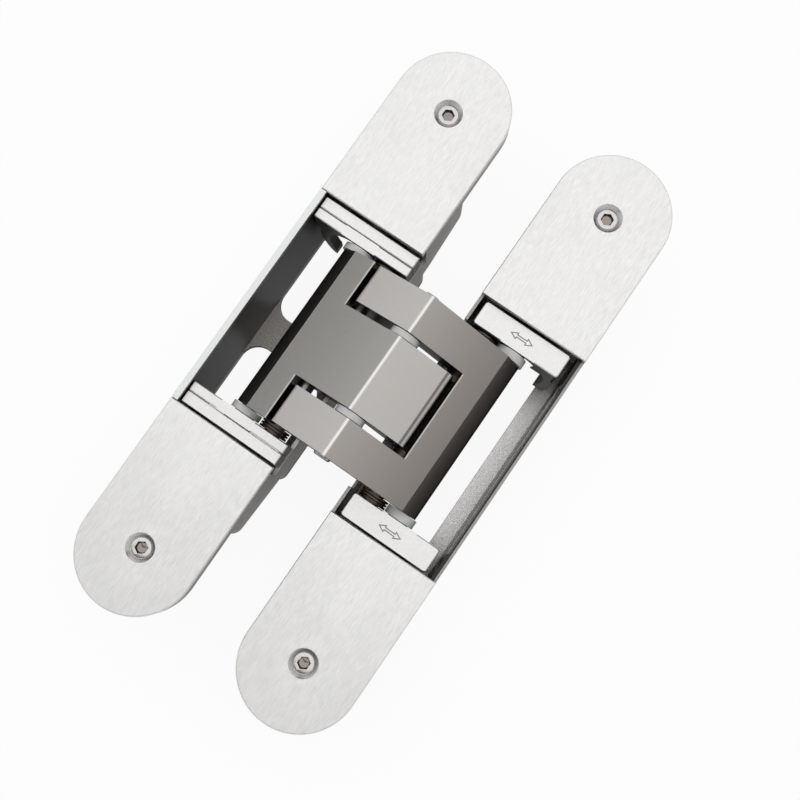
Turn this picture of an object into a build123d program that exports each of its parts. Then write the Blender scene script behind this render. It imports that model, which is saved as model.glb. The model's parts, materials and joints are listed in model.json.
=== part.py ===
from build123d import *
from math import asin, atan2, cos, hypot, pi, radians, sin, tan
import os

# Three-way adjustable concealed door hinge, laid open flat.  Millimetres.
# X runs across the two leaves, with the frame leaf at -X and the door leaf at +X.
# Y runs along them, and Z points out of the cover faces.  The origin lies on the
# plane of the casing backs, midway between the leaves and midway along them.
# Places inside a leaf are given as a reach u from its gap-side edge and a depth v
# below its cover face.

# Leaves
leaf_length = 161.5
leaf_width = 30.0
leaf_gap = 17.0
leaf_depth = 30.6
closed_gap = 4.0

# Cover plates and their screws
cover_thickness = 1.6
frame_cover_length = 49.5
door_cover_length = 49.0
cover_edge_break = 0.25
cover_screw_inset = 16.3
sink_mouth_r = 3.6
sink_depth = 1.1
cover_screw_head_r = 2.45
cover_screw_r = 1.5
cover_screw_length = 5.2
cover_screw_hex = 2.5
cover_hex_depth = 1.2
screw_clearance = 0.15

# Casings
outer_wall = 1.6
end_wall = 1.2
frame_near_wall = 1.2
door_near_wall = 0.8
floor_thickness = 2.2
flange_thickness = 4.0
box_half_length = 34.2
step_half_length = 51.5
step_depth = 22.0
step_end_depth = 16.0
step_end_r = 1.5
step_floor = 1.6
near_wall_drop = 12.0
door_wall_drop = 2.6
door_lip_start = 24.6
door_wall_relief = 0.5
casing_corner_r = 3.0
inner_corner_r = 2.0
mount_hole_r = 2.6
mount_sink_r = 4.7
mount_sink_depth = 2.1
mount_hole_insets = (23.75, 7.15)

# Floor windows
frame_rib_centre = -2.2
frame_rib_width = 9.4
window_corner_r = 5.0
window_start_reach = 5.0
window_half_length = 31.0
door_strip_width = 4.5

# Linkage, as reaches and depths in a leaf
pivot_reach = 6.2
pivot_depth = 7.5
slide_reach = 14.2
slide_depth = 6.0
centre_rise = 6.0

# Pins, washers, bushes and rollers
centre_pin_r = 2.25
centre_pin_overhang = 0.7
pivot_pin_r = 2.25
slide_pin_r = 2.0
pin_clearance = 0.05
pin_end_r = 0.6
washer_r = 3.9
washer_play = 0.15
bush_r = 3.25
bush_groove_depth = 0.35
bush_groove_width = 0.35
sleeve_r = 3.0
roller_flange_r = 4.0
roller_r = 2.8
roller_play = 0.3
slot_arcs = 4
slot_first_share = 0.0001
side_play = 0.2

# Arms
ridge_rise = 4.5
ridge_offset = 0.5
ridge_r = 1.2
slide_facet_slope = 24.0
pivot_facet_slope = 20.0
facet_run = 21.7
facet_end_r = 0.4
slide_nose_r = 3.4
pivot_boss_r = 3.3
centre_boss_r = 3.9
web_r = 2.6
boss_relief = 0.9
t_half_length = 22.8
c_half_length = 22.4
stem_half_width = 10.25
prong_inner = 12.2
t_cross_reach = 7.8
c_cross_reach = 7.3
stem_corner_reach = 6.0
stem_corner_r = 2.6
prong_corner_reach = 6.3
prong_corner_r = 0.8
arm_edge_break = 0.35

# Sliding blocks and plates
block_drop = 2.0
plate_inner = 24.9
plate_thickness = 2.6
strip_gap = 0.12
strip_outer = 30.8
strip_reach_low = 0.4
wall_play = 0.2
strip_head_depth = 10.5
leg_width = 2.6
leg_end_depth = 27.6
pivot_lug_r = 4.5
door_block_outer = 31.4
door_block_reach_low = 2.0
door_block_wall_gap = 1.9
door_block_depth = 12.0
door_leg_thickness = 3.0
strip_corner_r = 0.3
block_corner_r = 0.8
block_edge_break = 0.25

# Feet, clamp screws and depth screws under the covers
foot_reach_low = 6.0
foot_reach_high = 22.5
foot_top = 8.4
foot_thickness = 4.0
foot_end_gap = 1.9
foot_screw_inset = 5.0
clamp_screw_r = 2.4
clamp_head_r = 4.2
clamp_head_height = 3.2
clamp_head_chamfer = 0.3
clamp_hex = 4.0
clamp_hex_depth = 1.9
clamp_thread_length = 4.5
clamp_boss_r = 5.2
height_travel = 1.5
side_travel = 1.0
depth_travel = 1.0
slot_play = 0.3
foot_play = 0.15
clamp_play = 0.05
tongue_width = 7.5
tongue_top = 4.2
tongue_thickness = 2.2
tongue_end = 36.8
depth_screw_place = 34.2
depth_screw_r = 1.5
depth_head_r = 2.6
depth_head_height = 1.1
depth_collar_height = 0.8
depth_hex = 2.0
depth_hex_depth = 0.8

# Engraved double arrow on the sliding blocks
arrow_length = 6.4
arrow_head_length = 1.9
arrow_width = 2.0
arrow_shaft_width = 0.8
arrow_line = 0.2
arrow_depth = 0.15

half_gap = leaf_gap / 2
half_length = leaf_length / 2
slide_inner_face = plate_inner - side_play
foot_end = step_half_length - outer_wall - foot_end_gap
clamp_screw_place = foot_end - foot_screw_inset
frame_side = -1
door_side = 1


def place(side, u, v):
    """Turn a reach and a depth in a leaf into X and Z."""
    return (side * (half_gap + u), leaf_depth - v)


def cuboid(side, u_low, u_high, y_low, y_high, v_top, v_bottom):
    """A box in a leaf, from its reach, its run along the leaf and its depths."""
    x_mid, z_mid = place(side, (u_low + u_high) / 2, (v_top + v_bottom) / 2)
    body = Box(u_high - u_low, y_high - y_low, v_bottom - v_top)
    return Pos(x_mid, (y_low + y_high) / 2, z_mid) * body


def both_ends(shape):
    """The same shape at the upper and at the lower end."""
    return [shape, mirror(shape, about=Plane.XZ)]


def across(sketch, y_low, y_high):
    """Extrude a sketch drawn in X and Z from y_low to y_high."""
    plane = Plane(origin=(0, y_high, 0), x_dir=(1, 0, 0), z_dir=(0, -1, 0))
    return extrude(plane * sketch, amount=y_high - y_low)


def upright(sketch, z_low, z_high):
    """Extrude a sketch drawn in X and Y from z_low to z_high."""
    return extrude(Pos(0, 0, z_low) * sketch, amount=z_high - z_low)


def rod(radius, x, z, y_low, y_high):
    """A round bar along Y."""
    return across(Pos(x, z) * Circle(radius), y_low, y_high)


def post(radius, x, y, z_low, z_high):
    """A round bar along Z."""
    return upright(Pos(x, y) * Circle(radius), z_low, z_high)


def turned(points, x, y):
    """A solid of revolution about a vertical axis, from radius and height points."""
    profile = make_face(Polyline(*points, close=True))
    return Pos(x, y, 0) * revolve(Plane.XZ * profile, axis=Axis.Z)


def hex_key_hole(across_flats, x, y, z_low, z_high):
    """A hexagon socket, as the solid to cut away."""
    return upright(Pos(x, y) * RegularPolygon(across_flats / 2, 6, major_radius=False), z_low, z_high)


# Linkage: the fixed pivots, the sliding pivots and the shared centre

frame_pivot = place(frame_side, pivot_reach, pivot_depth)
door_pivot = place(door_side, pivot_reach, pivot_depth)
frame_slide = place(frame_side, slide_reach, slide_depth)
door_slide = place(door_side, slide_reach, slide_depth)
centre = (0.0, leaf_depth + centre_rise)


def closed_turn():
    """The angle that each pronged lever turns about its fixed pivot from open to closed."""
    over = pivot_reach + half_gap
    up = pivot_depth + centre_rise
    lever = hypot(over, up)
    closed_up = pivot_depth + closed_gap / 2
    return pi - atan2(up, over) - asin(closed_up / lever)


def turn_about(point, hub, angle):
    """Turn a point of the X-Z plane anticlockwise about a hub."""
    x = point[0] - hub[0]
    z = point[1] - hub[1]
    return (hub[0] + x * cos(angle) - z * sin(angle), hub[1] + x * sin(angle) + z * cos(angle))


fold_angle = closed_turn()
arm_ratio = (pi - 2 * fold_angle) / fold_angle


def slide_place(share):
    """Where the frame-side sliding pivot lies after a share of the closing movement."""
    turn = share * fold_angle
    hub = turn_about(centre, frame_pivot, turn)
    arm = (frame_slide[0] - centre[0], frame_slide[1] - centre[1])
    moved = turn_about(arm, (0, 0), turn * (1 + arm_ratio))
    return (hub[0] + moved[0], hub[1] + moved[1])


def slide_path(side):
    """The centre line of a slot: tangent arcs through even shares of the travel."""
    shares = [step / slot_arcs for step in range(slot_arcs + 1)]
    points = [Vector(-side * x, z) for x, z in map(slide_place, shares)]
    x_next, z_next = slide_place(slot_first_share)
    heading = Vector(-side * x_next, z_next) - points[0]
    arcs = []
    for start, end in zip(points, points[1:]):
        arcs.append(TangentArc(start, end, tangent=heading).edge())
        heading = arcs[-1] % 1
    return Wire(arcs)


# Arms

ridge = (-ridge_offset, centre[1] + ridge_rise)


def facet_height(x, slope):
    """Height at x of the flat facet that falls from the ridge at the given slope."""
    return ridge[1] - abs(x - ridge[0]) * tan(radians(slope))


def slide_lever():
    """Section of the lever that ends in the sliding pivot, drawn towards -X."""
    slope = radians(slide_facet_slope)
    knee = (ridge[0] - facet_run, facet_height(ridge[0] - facet_run, slide_facet_slope))
    knee_hub = (knee[0] + facet_end_r * sin(slope), knee[1] - facet_end_r * cos(slope))
    flat = make_face(Polyline(ridge, knee, knee_hub, frame_slide, centre, close=True))
    nose = Pos(*frame_slide) * Circle(slide_nose_r)
    edge = Pos(*knee_hub) * Circle(facet_end_r)
    boss = Pos(*centre) * Circle(centre_boss_r)
    web = make_hull([*(Pos(*frame_slide) * Circle(web_r)).edges(), *boss.edges()])
    return flat + make_hull([*nose.edges(), *edge.edges()]) + boss + web


def pivot_lever(corner_reach, corner_r):
    """Section of the lever that ends in the fixed pivot, drawn towards +X."""
    corner_x = half_gap + corner_reach
    corner_z = facet_height(corner_x, pivot_facet_slope)
    boss = Pos(*door_pivot) * Circle(pivot_boss_r)
    hub = Pos(*centre) * Circle(centre_boss_r)
    web = make_hull([*boss.edges(), *hub.edges()])
    head = make_face(Polyline(ridge, (corner_x, corner_z), (corner_x, door_pivot[1]), centre, close=True))
    tip = head.vertices().sort_by(Axis.X)[-2:].sort_by(Axis.Y)[-1]
    return fillet(tip, corner_r) + web


def arm(half_width, middle_low, middle_high, cross_reach, corner_reach, corner_r):
    """One arm: a crossbar over its full width, and one or two bars to the fixed pivot.

    The bars fill the stretch from middle_low to middle_high on both sides of Y = 0.
    """
    section = slide_lever() + pivot_lever(corner_reach, corner_r)
    section = fillet(section.vertices().sort_by(Axis.Y)[-1], ridge_r)
    cross_side = half_gap + cross_reach
    window = Pos(-cross_side - leaf_width / 2, leaf_depth) * Rectangle(leaf_width, 2 * leaf_depth)
    crossbar = slide_lever() & window
    crossbar = fillet(crossbar.vertices().sort_by(Axis.Y)[-1], arm_edge_break)
    body = across(crossbar, -half_width, half_width)
    bar = across(section, middle_low, middle_high)
    body = body + bar + mirror(bar, about=Plane.XZ)
    body -= rod(pivot_boss_r + boss_relief, *frame_pivot, -half_width, half_width)
    body -= rod(centre_pin_r + pin_clearance, *centre, -half_width, half_width)
    body -= rod(slide_pin_r + pin_clearance, *frame_slide, -half_width, half_width)
    return body - rod(pivot_pin_r + pin_clearance, *door_pivot, -half_width, half_width)


def t_arm():
    """The arm with one stem, its crossbar in the frame leaf."""
    return arm(t_half_length, 0, stem_half_width, t_cross_reach, stem_corner_reach, stem_corner_r)


def c_arm():
    """The arm with two prongs, its crossbar in the door leaf."""
    body = arm(c_half_length, prong_inner, c_half_length, c_cross_reach, prong_corner_reach, prong_corner_r)
    return mirror(body, about=Plane.YZ)


# Pins, washers, bushes and rollers

def domed_pin(radius, x, z, half):
    """A round pin along Y with slightly rounded ends."""
    pin = rod(radius, x, z, -half, half)
    return fillet(pin.edges().filter_by(GeomType.CIRCLE), pin_end_r)


def ring(outer_r, bore_r, x, z, y_low, y_high):
    """A plain ring along Y."""
    return rod(outer_r, x, z, y_low, y_high) - rod(bore_r, x, z, y_low, y_high)


def centre_washers():
    """The two washers between the stem and the prongs."""
    bore = centre_pin_r + pin_clearance
    washer = ring(washer_r, bore, *centre, stem_half_width + washer_play, prong_inner - washer_play)
    return both_ends(washer)


def pivot_bushes(pivot, arm_side):
    """Grooved bronze bushes between an arm's side and the plate that carries the pin."""
    bore = pivot_pin_r + pin_clearance
    start = arm_side + washer_play
    end = plate_inner - washer_play
    bush = ring(bush_r, bore, *pivot, start, end)
    middle = (start + end) / 2
    groove = ring(bush_r + bush_groove_depth, bush_r - bush_groove_depth, *pivot,
                  middle - bush_groove_width / 2, middle + bush_groove_width / 2)
    return both_ends(bush - groove)


def door_pivot_sleeves():
    """Spacer tubes on the door pivot pin, from the stem to the bushes."""
    bore = pivot_pin_r + pin_clearance
    sleeve = ring(sleeve_r, bore, *door_pivot, stem_half_width + washer_play, c_half_length)
    return both_ends(sleeve)


def slide_rollers(slide, arm_side):
    """Flanged rollers: the flange beside the arm and the barrel in the slot."""
    bore = slide_pin_r + pin_clearance
    flange = ring(roller_flange_r, bore, *slide, arm_side + washer_play, slide_inner_face)
    barrel = ring(roller_r, bore, *slide, slide_inner_face, plate_inner + plate_thickness - strip_gap)
    return both_ends(flange + barrel)


# Sliding plates and blocks

def leg_outline(side, reach_low, reach_high):
    """Outline of the curved leg that the roller runs along, and of the lug round the pivot.

    The leg is the outer wall of the slot; its gap side stays open below the head.
    """
    points = [slide_place(step / slot_arcs) for step in range(slot_arcs + 1)]
    points = [(-side * x, z) for x, z in points]
    x_end = points[-1][0] + side * (roller_r + roller_play)
    x_gap = place(side, 0, 0)[0]
    points += [(x_end, points[-1][1]), (x_end, 0), (x_gap, 0), (x_gap, points[0][1])]
    open_side = make_face(Polyline(*points, close=True))
    leg = SlotArc(slide_path(side), 2 * (roller_r + roller_play + leg_width)) - open_side
    x_mid, z_mid = place(side, (reach_low + reach_high) / 2, (block_drop + leg_end_depth) / 2)
    limit = Pos(x_mid, z_mid) * Rectangle(reach_high - reach_low, leg_end_depth - block_drop)
    lug = Pos(*place(side, pivot_reach, pivot_depth)) * Circle(pivot_lug_r)
    return (leg + lug) & limit


def slot_outline(side):
    """Outline of the curved slot that the roller runs in."""
    return SlotArc(slide_path(side), 2 * (roller_r + roller_play))


def head(side, u_low, u_high, y_low, y_high, v_bottom, corner_r):
    """The straight head of a plate or block, with rounded corners and softened top edges."""
    body = cuboid(side, u_low, u_high, y_low, y_high, block_drop, v_bottom)
    body = fillet(body.edges().filter_by(Axis.Z), corner_r)
    return chamfer(body.edges().group_by(Axis.Z)[-1], block_edge_break)


def depth_plate():
    """Inner strip of the frame leaf, with pin hole, curved slot and tongue."""
    reach_high = leaf_width - outer_wall - wall_play
    y_high = plate_inner + plate_thickness
    plate = head(frame_side, strip_reach_low, reach_high, plate_inner, y_high, strip_head_depth, strip_corner_r)
    plate += across(leg_outline(frame_side, strip_reach_low, reach_high), plate_inner, y_high)
    plate -= across(slot_outline(frame_side), plate_inner, y_high)
    plate -= rod(pivot_pin_r + pin_clearance, *frame_pivot, plate_inner, y_high)
    middle = (foot_reach_low + foot_reach_high) / 2
    tongue = cuboid(frame_side, middle - tongue_width / 2, middle + tongue_width / 2,
                    y_high, tongue_end, tongue_top, tongue_top + tongue_thickness)
    x_screw = place(frame_side, middle, 0)[0]
    neck = post(depth_screw_r + pin_clearance, x_screw, depth_screw_place, 0, leaf_depth)
    return plate + (tongue - neck)


def height_block():
    """Outer strip of the frame leaf, with the clamped foot and the tongue's window."""
    y_low = plate_inner + plate_thickness + strip_gap
    reach_high = leaf_width - outer_wall - wall_play
    middle = (foot_reach_low + foot_reach_high) / 2
    block = head(frame_side, strip_reach_low, reach_high, y_low, strip_outer, strip_head_depth, strip_corner_r)
    foot_bottom = foot_top + foot_thickness
    block += cuboid(frame_side, foot_reach_low, foot_reach_high, y_low, foot_end, foot_top, foot_bottom)
    room = depth_travel + slot_play
    block -= cuboid(frame_side, middle - tongue_width / 2 - slot_play, middle + tongue_width / 2 + slot_play,
                    y_low, strip_outer, tongue_top - room, tongue_top + tongue_thickness + room)
    x_screw, z_top = place(frame_side, middle, foot_top)
    z_bottom = leaf_depth - foot_bottom
    block -= post(depth_screw_r + pin_clearance, x_screw, depth_screw_place, z_bottom, z_top)
    slot_length = 2 * (clamp_screw_r + slot_play + height_travel)
    slot = SlotOverall(slot_length, 2 * (clamp_screw_r + slot_play), rotation=90)
    return block - upright(Pos(x_screw, clamp_screw_place) * slot, z_bottom, z_top)


def arrow_outline(scale_line):
    """Double-headed arrow, grown on all sides by scale_line."""
    half = arrow_length / 2
    neck = half - arrow_head_length
    shaft = arrow_shaft_width / 2
    wing = arrow_width / 2
    points = [(half, 0), (neck, wing), (neck, shaft), (-neck, shaft), (-neck, wing), (-half, 0),
              (-neck, -wing), (-neck, -shaft), (neck, -shaft), (neck, -wing)]
    arrow = make_face(Polyline(*points, close=True))
    return offset(arrow, scale_line, kind=Kind.INTERSECTION) if scale_line else arrow


def side_block():
    """Sliding block of the door leaf, with pin hole, curved slot, foot and arrow."""
    reach_high = leaf_width - outer_wall - door_block_wall_gap
    block = head(door_side, door_block_reach_low, reach_high, plate_inner, door_block_outer,
                 door_block_depth, block_corner_r)
    block += across(leg_outline(door_side, door_block_reach_low, reach_high),
                    plate_inner, plate_inner + door_leg_thickness)
    block -= across(slot_outline(door_side), plate_inner, plate_inner + plate_thickness)
    block -= rod(pivot_pin_r + pin_clearance, *door_pivot, plate_inner, plate_inner + plate_thickness)
    foot_bottom = foot_top + foot_thickness
    block += cuboid(door_side, foot_reach_low, foot_reach_high, plate_inner + plate_thickness, foot_end,
                    foot_top, foot_bottom)
    middle = (foot_reach_low + foot_reach_high) / 2
    x_screw, z_top = place(door_side, middle, foot_top)
    slot_length = 2 * (clamp_screw_r + slot_play + side_travel)
    slot = SlotOverall(slot_length, 2 * (clamp_screw_r + slot_play))
    block -= upright(Pos(x_screw, clamp_screw_place) * slot, leaf_depth - foot_bottom, z_top)
    z_face = leaf_depth - block_drop
    line = arrow_outline(0) - arrow_outline(-arrow_line)
    x_mid = place(door_side, (door_block_reach_low + reach_high) / 2, 0)[0]
    y_mid = (plate_inner + door_block_outer) / 2
    return block - upright(Pos(x_mid, y_mid) * line, z_face - arrow_depth, z_face)


def clamp_screw(side):
    """Socket screw that clamps a foot to the casing's boss."""
    middle = (foot_reach_low + foot_reach_high) / 2
    x, z_seat = place(side, middle, foot_top - clamp_play)
    z_end = leaf_depth - foot_top - foot_thickness - clamp_thread_length
    screw = post(clamp_head_r, x, clamp_screw_place, z_seat, z_seat + clamp_head_height)
    screw = chamfer(screw.edges().sort_by(Axis.Z)[-1], clamp_head_chamfer)
    screw += post(clamp_screw_r, x, clamp_screw_place, z_end, z_seat)
    z_head = z_seat + clamp_head_height
    return screw - hex_key_hole(clamp_hex, x, clamp_screw_place, z_head - clamp_hex_depth, z_head)


def depth_screw():
    """Adjusting screw whose head and collar hold the depth plate's tongue."""
    middle = (foot_reach_low + foot_reach_high) / 2
    x, z_seat = place(frame_side, middle, tongue_top)
    z_low = z_seat - tongue_thickness
    z_end = leaf_depth - foot_top - foot_thickness
    y = depth_screw_place
    screw = post(depth_head_r, x, y, z_seat, z_seat + depth_head_height)
    screw += post(depth_screw_r, x, y, z_end, z_seat)
    screw += post(depth_head_r, x, y, z_low - depth_collar_height, z_low)
    z_head = z_seat + depth_head_height
    return screw - hex_key_hole(depth_hex, x, y, z_head - depth_hex_depth, z_head)


# Cover plates and their screws

def rounded_end(side, y_inner):
    """Plan of a cover plate at the upper end, from y_inner to the round tip."""
    x_mid = side * (half_gap + leaf_width / 2)
    end_r = leaf_width / 2
    shoulder = half_length - end_r
    return (Pos(x_mid, (y_inner + shoulder) / 2) * Rectangle(leaf_width, shoulder - y_inner)
            + Pos(x_mid, shoulder) * Circle(end_r))


def cover(side, length):
    """One cover plate at the upper end, with its sunk screw hole."""
    plate = upright(rounded_end(side, half_length - length), leaf_depth - cover_thickness, leaf_depth)
    plate = chamfer(plate.edges().group_by(Axis.Z)[-1], cover_edge_break)
    x = side * (half_gap + leaf_width / 2)
    y = half_length - cover_screw_inset
    bottom = leaf_depth - cover_thickness
    floor_r = cover_screw_head_r + screw_clearance
    shank_r = cover_screw_r + screw_clearance
    seat = leaf_depth - sink_depth
    hole = [(0, leaf_depth), (sink_mouth_r, leaf_depth), (floor_r, seat), (shank_r, bottom), (0, bottom)]
    return plate - turned(hole, x, y)


def cover_screw(side):
    """Countersunk hex-socket screw at the upper end of a leaf."""
    x = side * (half_gap + leaf_width / 2)
    y = half_length - cover_screw_inset
    top = leaf_depth - sink_depth
    neck = top - (cover_thickness - sink_depth)
    end = top - cover_screw_length
    points = [(0, top), (cover_screw_head_r, top), (cover_screw_r, neck), (cover_screw_r, end), (0, end)]
    return turned(points, x, y) - hex_key_hole(cover_screw_hex, x, y, top - cover_hex_depth, top)


# Casings

def step_profile(half, lift):
    """Long section of a casing's step at both ends, its sloping bottom raised by lift."""
    inner = (box_half_length, leaf_depth - step_depth + lift)
    slope = (step_depth - step_end_depth) / (step_half_length - box_half_length)
    outer = (half, inner[1] + slope * (half - box_half_length))
    points = [(-outer[0], outer[1]), (-inner[0], inner[1]), inner, outer, (half, leaf_depth), (-half, leaf_depth)]
    profile = make_face(Polyline(*points, close=True))
    lower = profile.vertices().sort_by(Axis.Y)[:4].sort_by(Axis.X)
    profile = fillet([lower[0], lower[-1]], step_end_r)
    return extrude(Plane.YZ * profile, amount=leaf_width + leaf_gap, both=True)


def casing_shell(side, near_wall):
    """Flange, step boxes and deep box of one casing, hollowed out."""
    x_mid = side * (half_gap + leaf_width / 2)
    top = leaf_depth - cover_thickness
    flange = upright(rounded_end(side, 0), top - flange_thickness, top)
    flange += mirror(flange, about=Plane.XZ)
    step = upright(Pos(x_mid, 0) * RectangleRounded(leaf_width, 2 * step_half_length, casing_corner_r), 0, top)
    step &= step_profile(step_half_length, 0)
    deep = upright(Pos(x_mid, 0) * RectangleRounded(leaf_width, 2 * box_half_length, casing_corner_r), 0, top)
    shell = flange + step + deep
    inner_half = box_half_length - end_wall
    shell -= cuboid(side, near_wall, leaf_width - outer_wall, -inner_half, inner_half,
                    0, leaf_depth - floor_thickness)
    pocket_half = step_half_length - outer_wall
    x_pocket = place(side, (near_wall + leaf_width - outer_wall) / 2, 0)[0]
    pocket = RectangleRounded(leaf_width - outer_wall - near_wall, 2 * pocket_half, inner_corner_r)
    return shell - (upright(Pos(x_pocket, 0) * pocket, 0, leaf_depth) & step_profile(pocket_half, step_floor))


def casing_details(side, shell):
    """Clamp bosses, mounting holes and cover screw holes of one casing."""
    x_mid = side * (half_gap + leaf_width / 2)
    top = leaf_depth - cover_thickness
    x_foot = place(side, (foot_reach_low + foot_reach_high) / 2, 0)[0]
    boss_top = leaf_depth - foot_top - foot_thickness - foot_play
    for end in (1, -1):
        y = end * clamp_screw_place
        shell += post(clamp_boss_r, x_foot, y, 0, boss_top) & step_profile(step_half_length, 0)
        shell -= post(clamp_screw_r + pin_clearance, x_foot, y, boss_top - clamp_thread_length, boss_top)
        shell -= post(cover_screw_r + pin_clearance, x_mid, end * (half_length - cover_screw_inset),
                      top - flange_thickness, top)
        for inset in mount_hole_insets:
            shank = [(0, top), (mount_sink_r, top), (mount_hole_r, top - mount_sink_depth),
                     (mount_hole_r, top - flange_thickness), (0, top - flange_thickness)]
            shell -= turned(shank, x_mid, end * (half_length - inset))
    return shell


def near_wall_cut(side, half, near_wall):
    """The stretch of gap-side wall that is cut down so that the arms pass over it."""
    return cuboid(side, 0, near_wall, -half, half, 0, near_wall_drop)


def frame_casing():
    """Casing of the frame leaf, with a full outer wall and two floor windows."""
    shell = casing_details(frame_side, casing_shell(frame_side, frame_near_wall))
    inner_half = box_half_length - end_wall
    shell -= near_wall_cut(frame_side, inner_half, frame_near_wall)
    window_half = half_length - frame_cover_length - strip_gap
    shell += cuboid(frame_side, leaf_width - outer_wall, leaf_width, -window_half, window_half,
                    0, cover_thickness)
    for low, high in ((frame_rib_centre + frame_rib_width / 2, window_half_length),
                      (-window_half_length, frame_rib_centre - frame_rib_width / 2)):
        x_mid = place(frame_side, (window_start_reach + leaf_width - outer_wall) / 2, 0)[0]
        width = leaf_width - outer_wall - window_start_reach
        opening = Pos(x_mid, (low + high) / 2) * RectangleRounded(width, high - low, window_corner_r)
        shell -= upright(opening, 0, floor_thickness)
    return shell


def door_casing():
    """Casing of the door leaf, with a lower outer wall and one long floor window."""
    shell = casing_details(door_side, casing_shell(door_side, door_near_wall))
    inner_half = box_half_length - end_wall
    shell -= near_wall_cut(door_side, door_lip_start, door_near_wall)
    shell -= cuboid(door_side, leaf_width - outer_wall, leaf_width, -inner_half, inner_half,
                    0, door_wall_drop)
    shell -= cuboid(door_side, leaf_width - outer_wall, leaf_width - outer_wall + door_wall_relief,
                    -door_lip_start, door_lip_start, 0, near_wall_drop)
    reach_high = leaf_width - outer_wall - door_strip_width
    x_mid = place(door_side, (window_start_reach + reach_high) / 2, 0)[0]
    opening = RectangleRounded(reach_high - window_start_reach, 2 * window_half_length, inner_corner_r)
    return shell - upright(Pos(x_mid, 0) * opening, 0, floor_thickness)


def nodes():
    """Every piece of the hinge by its name."""
    pieces = {
        "frame_casing": frame_casing(),
        "door_casing": door_casing(),
        "t_arm": t_arm(),
        "c_arm": c_arm(),
        "centre_pin": domed_pin(centre_pin_r, *centre, c_half_length + centre_pin_overhang),
        "centre_washers": centre_washers(),
        "frame_pivot_pin": domed_pin(pivot_pin_r, *frame_pivot, plate_inner + plate_thickness - strip_gap),
        "door_pivot_pin": domed_pin(pivot_pin_r, *door_pivot, plate_inner + plate_thickness - strip_gap),
        "frame_pivot_bushes": pivot_bushes(frame_pivot, c_half_length),
        "door_pivot_bushes": pivot_bushes(door_pivot, c_half_length),
        "door_pivot_sleeves": door_pivot_sleeves(),
        "t_arm_slide_pin": domed_pin(slide_pin_r, *frame_slide, plate_inner + plate_thickness - strip_gap),
        "c_arm_slide_pin": domed_pin(slide_pin_r, *door_slide, plate_inner + plate_thickness - strip_gap),
        "t_arm_slide_rollers": slide_rollers(frame_slide, t_half_length),
        "c_arm_slide_rollers": slide_rollers(door_slide, c_half_length),
        "frame_clamp_screws": both_ends(clamp_screw(frame_side)),
        "door_clamp_screws": both_ends(clamp_screw(door_side)),
        "frame_depth_screws": both_ends(depth_screw()),
        "frame_cover_screws": both_ends(cover_screw(frame_side)),
        "door_cover_screws": both_ends(cover_screw(door_side)),
    }
    pairs = {
        "frame_cover": cover(frame_side, frame_cover_length),
        "door_cover": cover(door_side, door_cover_length),
        "frame_height_block": height_block(),
        "frame_depth_plate": depth_plate(),
        "door_side_block": side_block(),
    }
    for name, shape in pairs.items():
        upper, lower = both_ends(shape)
        pieces[name + "_upper"] = upper
        pieces[name + "_lower"] = lower
    return pieces


def write_parts():
    """Write one file for each piece."""
    os.makedirs("parts", exist_ok=True)
    for name, shape in nodes().items():
        solids = shape if isinstance(shape, list) else [shape]
        export_step(Compound(children=solids) if len(solids) > 1 else solids[0], f"parts/{name}.step")


write_parts()
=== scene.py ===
"""Finishes, studio and camera for a concealed door hinge that lies open on a pale floor."""

import json
import logging
from dataclasses import dataclass, replace
from enum import Enum, IntEnum
from math import radians, sqrt

import bpy
from mathutils import Euler, Matrix, Vector


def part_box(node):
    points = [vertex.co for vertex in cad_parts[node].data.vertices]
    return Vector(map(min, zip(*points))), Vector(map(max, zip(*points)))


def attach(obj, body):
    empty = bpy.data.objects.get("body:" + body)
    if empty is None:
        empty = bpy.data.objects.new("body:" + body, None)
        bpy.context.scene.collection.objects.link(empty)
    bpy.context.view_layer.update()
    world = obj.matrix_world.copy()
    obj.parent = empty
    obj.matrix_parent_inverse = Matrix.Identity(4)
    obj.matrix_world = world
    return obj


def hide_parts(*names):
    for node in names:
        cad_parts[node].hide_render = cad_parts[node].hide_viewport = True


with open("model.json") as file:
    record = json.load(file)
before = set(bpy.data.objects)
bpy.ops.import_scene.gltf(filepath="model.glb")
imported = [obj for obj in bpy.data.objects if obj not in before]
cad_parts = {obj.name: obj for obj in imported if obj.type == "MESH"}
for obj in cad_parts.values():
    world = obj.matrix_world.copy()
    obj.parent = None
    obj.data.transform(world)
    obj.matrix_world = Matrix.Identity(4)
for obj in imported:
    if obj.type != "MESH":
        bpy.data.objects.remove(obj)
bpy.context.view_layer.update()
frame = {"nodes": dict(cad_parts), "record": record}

log = logging.getLogger("hinge")

MM = 0.001

Colour = tuple[float, float, float]
Corner = tuple[float, float, float]
Span = tuple[float, float]

# How near to a height a face's middle has to be, and how upright its normal, to be selected there.
LEVEL_WITHIN = 0.01 * MM
LEVEL_NORMAL = 0.9

# Turns of an edge, in degrees: above the first it is broken, and below the second it is shaded smooth.
BROKEN_EDGE_TURN = 35.0
SMOOTH_EDGE_TURN = 30.0
BROKEN_EDGE_STEPS = 2


class Grain(Enum):
    """The way that a finish's fine lines run, as the stretch of their noise along X, Y and Z."""

    ALONG_LEAF = (1.0, 0.07, 1.0)
    ROUND_PIN = (1.0, 30.0, 1.0)
    EVEN = (1.0, 1.0, 1.0)


class MixInput(IntEnum):
    """Places of the inputs of a Mix node, which has one pair for values and one for colours."""

    VALUE_A = 2
    VALUE_B = 3
    COLOUR_A = 6
    COLOUR_B = 7


class MixOutput(IntEnum):
    """Places of the outputs of a Mix node."""

    VALUE = 0
    COLOUR = 2


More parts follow.
